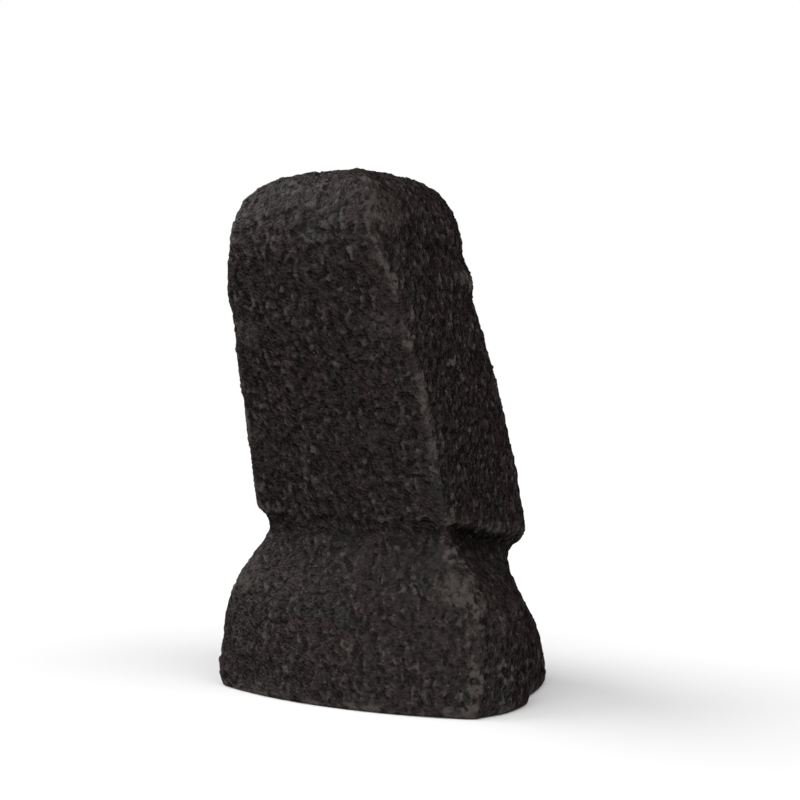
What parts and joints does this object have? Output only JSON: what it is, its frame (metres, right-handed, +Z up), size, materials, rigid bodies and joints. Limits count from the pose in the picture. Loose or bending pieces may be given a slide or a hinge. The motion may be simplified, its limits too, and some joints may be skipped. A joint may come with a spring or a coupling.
{
  "type": "moai head statue",
  "caption": "Moai head and shoulders carved from one block of dark lava stone, with a long nose, a heavy brow and a flat underside, standing by its own weight.",
  "frame": {"origin": "centre of the flat underside, on the surface the statue stands on", "axes": "+Z up through the figure, -Y the way the face looks, +X the figure's left"},
  "size_m": [0.2578, 0.2567, 0.4018],
  "materials": {
    "lava_stone": "matte"
  },
  "bodies": {
    "root": {"moai_statue": "lava_stone"}
  },
  "joints": []
}
